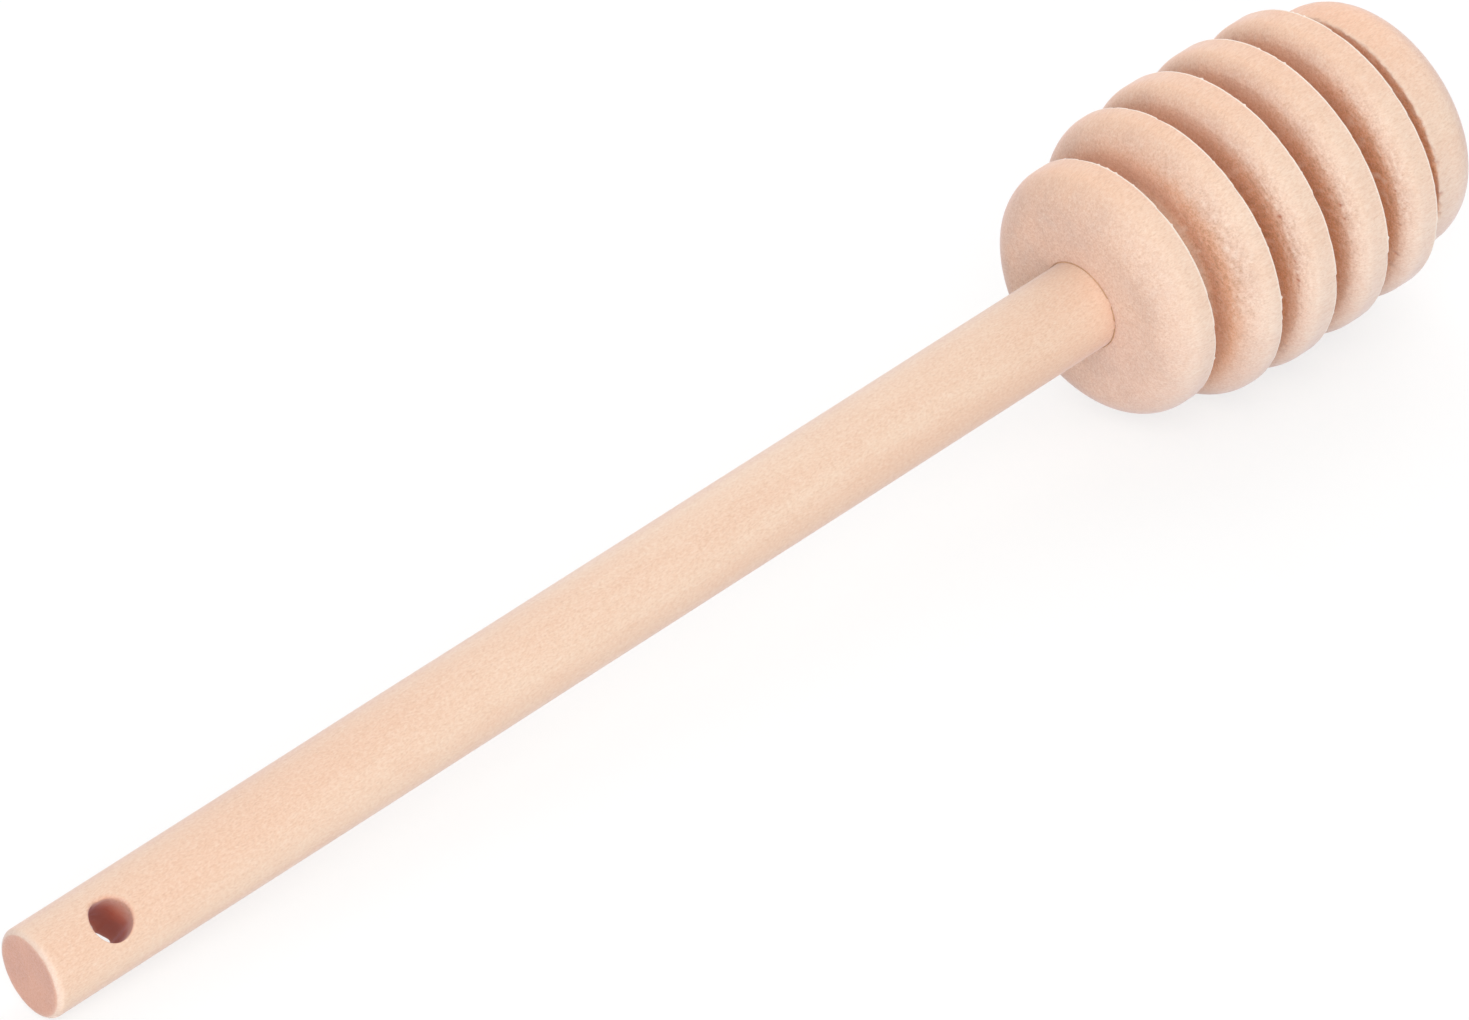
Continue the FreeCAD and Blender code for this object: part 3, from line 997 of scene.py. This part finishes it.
    def pits(self, points, corners):
        """Sink pits along the torn edges; gives each point's painted shade, which grows towards their
        middles.
        """
        pit_shading = np.zeros(points.shape[:2])
        for place, radius, *_ in corners:
            row = np.argmin(self.from_corner(place, radius))
            forward, away = self.outward[row]
            for _ in range(self.sizes.pit_count):
                turn = self.chance.choice([-1, 1]) * math.radians(self.chance.normal(*PIT_SIDES))
                column = round((turn + math.pi) / FULL_TURN * HEAD_COLUMNS) % HEAD_COLUMNS
                breadth = self.chance.uniform(*PIT_BREADTHS)
                near = nearness(np.linalg.norm(points - points[row, column], axis=-1), breadth)
                points -= near[..., None] * self.sizes.pit_depth * round_axis(forward, turn, away)
                pit_shading = np.maximum(pit_shading, self.chance.uniform(*PIT_SHADES) * near)
        return pit_shading

    def painted_slot_shade(self):
        """How much painted warm shade each point gets: the more, the deeper in a slot."""
        sizes = self.sizes
        depth = MIDDLE_RADIUS - sizes.front_round_drop - self.radius
        floors = self.radius < sizes.core_diameter / 2 + FLOOR_REACH
        steepness = np.where(floors, FLOOR_SLOT_SHADE, np.abs(self.outward[:, :1]) ** 6)
        first_rings = HEAD_START + sizes.first_ring_width + sizes.slot_width + sizes.second_rounding
        slot_shade_share = np.where(self.along > first_rings, SLOT_SHADE_SHARES[1], SLOT_SHADE_SHARES[0])
        side = SLOT_SHADE_ROUND + SLOT_SHADE_MORE * toward(self.turn, SLOT_SHADE_SIDE)
        return slot_shade_share * ramp(depth, *SLOT_SHADE_DEPTHS) * self.in_slots() * steepness * side

    def tones(self, last_ring):
        """How far each tint shows, the lit side and the underside's cool light being painted, with more
        blush on the last ring.
        """
        tones = {mark: share * toward(self.turn, side) for mark, (side, share) in TONES.items()}
        side, share = TONES["blushed"]
        blush = np.where(self.along > last_ring, LAST_BLUSH, share)
        return {**tones, "blushed": blush * toward(self.turn, side)}


# The glue

class MakeGlue(bpy.types.Operator):
    """Build the cured glue between the tenon and the socket"""

    bl_idname = "dipper.make_glue"
    bl_label = "Make Glue"

    COLUMNS = 180
    # Where and how broadly the glue missed the joint, in degrees
    GAPS = (60, 91)
    GAP_BREADTH = 4
    # How far the glue stays off the wood
    SKIN = 0.01 * MM

    def execute(self, context):
        settings = context.scene.dipper.glue
        turn = evenly(self.COLUMNS)
        inner, outer = HANDLE_RADIUS + self.SKIN, SOCKET_RADIUS - self.SKIN
        floor, bottom = TENON_END + self.SKIN, SOCKET_END - self.SKIN
        uneven = lumps(spokes(turn), "glue_rim")
        breadth = math.radians(self.GAP_BREADTH)
        gaps = sum(nearness(turn - math.radians(gap), breadth) for gap in self.GAPS)
        rim = HEAD_START + settings.rim_unevenness * (1 + uneven) + settings.gap_depth * gaps
        profile = [
            (floor, inner / 2),
            (floor, inner),
            (rim + (inner - outer), inner),
            (rim, outer),
            (bottom, outer),
            (bottom, outer / 2),
        ]
        rows = [round_axis(along, turn, radius) for along, radius in profile]
        points = np.concatenate([*rows, [(floor, 0, 0), (bottom, 0, 0)]])
        faces = turned_faces(len(profile), self.COLUMNS)
        add_piece("glue_skin", points, faces, glue_material(settings), "glue_film", {})
        return {"FINISHED"}


# The stage

# The soft boxes: azimuth and elevation in degrees, breadth in metres and power in watts
LAMPS = {
    "front_box": (-48, 35, 1.0, 6.4),
    "low_front_box": (-44, 12, 0.7, 2.2),
    "back_box": (140, 45, 1.0, 2.8),
    "side_box": (95, 25, 0.7, 2.2),
    "low_back_box": (150, 20, 0.7, 1.8),
}
# How far the soft boxes are, and half the floor's breadth, in metres
LAMP_DISTANCE = 1.0
HALF = 3.0
WHITE = linear("#FFFFFF")


def from_aim(azimuth, elevation, distance):
    """A place away from the aim; the azimuth is 0 towards -Y and grows towards +X."""
    level = math.cos(elevation) * distance
    return Vector((math.sin(azimuth) * level, -math.cos(azimuth) * level, math.sin(elevation) * distance))


def add_camera(settings):
    """The camera, where the photograph was taken from."""
    camera = bpy.data.cameras.new("photo_camera")
    camera.sensor_width = 36
    camera.lens = settings.lens
    camera.clip_end = 20
    holder = add_object("photo_camera", camera)
    back = from_aim(settings.azimuth, settings.elevation, settings.distance)
    holder.location = Vector(settings.aim) + back
    holder.rotation_euler = (-back).to_track_quat("-Z", "Y").to_euler()
    bpy.context.scene.camera = holder


def add_lamp(name, azimuth, elevation, breadth, power):
    """A square soft box that shines on the dipper."""
    light = bpy.data.lights.new(name, "AREA")
    light.shape = "SQUARE"
    light.size = breadth
    light.energy = power
    lamp = add_object(name, light)
    lamp.location = from_aim(math.radians(azimuth), math.radians(elevation), LAMP_DISTANCE)
    lamp.rotation_euler = (-lamp.location).to_track_quat("-Z", "Y").to_euler()
    lamp.visible_camera = False


def add_sky(settings):
    """Even white light from all round."""
    world = bpy.data.worlds.new("studio")
    bpy.context.scene.world = world
    world.use_nodes = True
    world.node_tree.nodes.clear()
    inputs = {"Color": solid(WHITE), "Strength": settings.sky}
    sky = add_node(world.node_tree, "ShaderNodeBackground", inputs)
    add_node(world.node_tree, "ShaderNodeOutputWorld", {0: sky.outputs[0]})


def floor_material(settings):
    """Smooth white paper, with no gloss."""
    # It is plain white to the eye, with the dipper's soft shadow
    material, tree = new_material("white_paper_floor")
    path = add_node(tree, "ShaderNodeLightPath", {})
    seen = path.outputs["Is Camera Ray"]
    for kind in ("Is Glossy Ray", "Is Transmission Ray"):
        either = add_node(tree, "ShaderNodeMath", {0: seen, 1: path.outputs[kind]}, operation="MAXIMUM")
        seen = either.outputs[0]
    plain = add_node(tree, "ShaderNodeBsdfDiffuse", {"Color": solid(settings.paper)})
    shaded = add_node(tree, "ShaderNodeBsdfDiffuse", {"Color": solid(settings.shaded_paper)})
    glow = add_node(tree, "ShaderNodeEmission", {"Color": solid(WHITE), "Strength": settings.glow})
    white = add_node(tree, "ShaderNodeAddShader", {0: shaded.outputs[0], 1: glow.outputs[0]})
    shown = add_node(tree, "ShaderNodeMixShader", {0: seen, 1: plain.outputs[0], 2: white.outputs[0]})
    add_node(tree, "ShaderNodeOutputMaterial", {0: shown.outputs[0]})
    return material


def add_floor(settings):
    """The white floor that the dipper lies on."""
    mesh = bpy.data.meshes.new("floor")
    corners = [(-HALF, -HALF, 0), (HALF, -HALF, 0), (HALF, HALF, 0), (-HALF, HALF, 0)]
    mesh.from_pydata(corners, [], [(0, 1, 2, 3)])
    mesh.materials.append(floor_material(settings))
    add_object("floor", mesh)


class MakeStage(bpy.types.Operator):
    """Set up the camera, the soft light and the white floor"""

    bl_idname = "dipper.make_stage"
    bl_label = "Make Stage"

    def execute(self, context):
        settings = context.scene.dipper.stage
        context.scene.view_settings.view_transform = "Standard"
        add_camera(settings)
        add_floor(settings)
        add_sky(settings)
        for name, values in LAMPS.items():
            add_lamp(name, *values)
        return {"FINISHED"}


class DipperPanel(bpy.types.Panel):
    """The dipper's operators and settings in the sidebar"""

    bl_idname = "VIEW3D_PT_dipper"
    bl_label = "Honey Dipper"
    bl_space_type = "VIEW_3D"
    bl_region_type = "UI"
    bl_category = "Honey Dipper"

    def draw(self, context):
        for operator in OPERATORS:
            self.layout.operator(operator.bl_idname)
        for name in ("wood", "handle", "head", "glue", "stage"):
            group = getattr(context.scene.dipper, name)
            box = self.layout.box()
            box.label(text=name.title())
            for field in group.__annotations__:
                box.prop(group, field)


GROUPS = (WoodSettings, HandleSettings, HeadSettings, GlueSettings, StageSettings, DipperSettings)
OPERATORS = (MakeHandle, MakeHead, MakeGlue, MakeStage)
CLASSES = (*GROUPS, *OPERATORS, DipperPanel)


def register():
    for item in CLASSES:
        bpy.utils.register_class(item)
    bpy.types.Scene.dipper = PointerProperty(type=DipperSettings)


def unregister():
    del bpy.types.Scene.dipper
    for item in reversed(CLASSES):
        bpy.utils.unregister_class(item)


def main():
    register()
    bpy.ops.dipper.make_handle()
    bpy.ops.dipper.make_head()
    bpy.ops.dipper.make_glue()
    bpy.ops.dipper.make_stage()


if __name__ == "__main__":
    main()
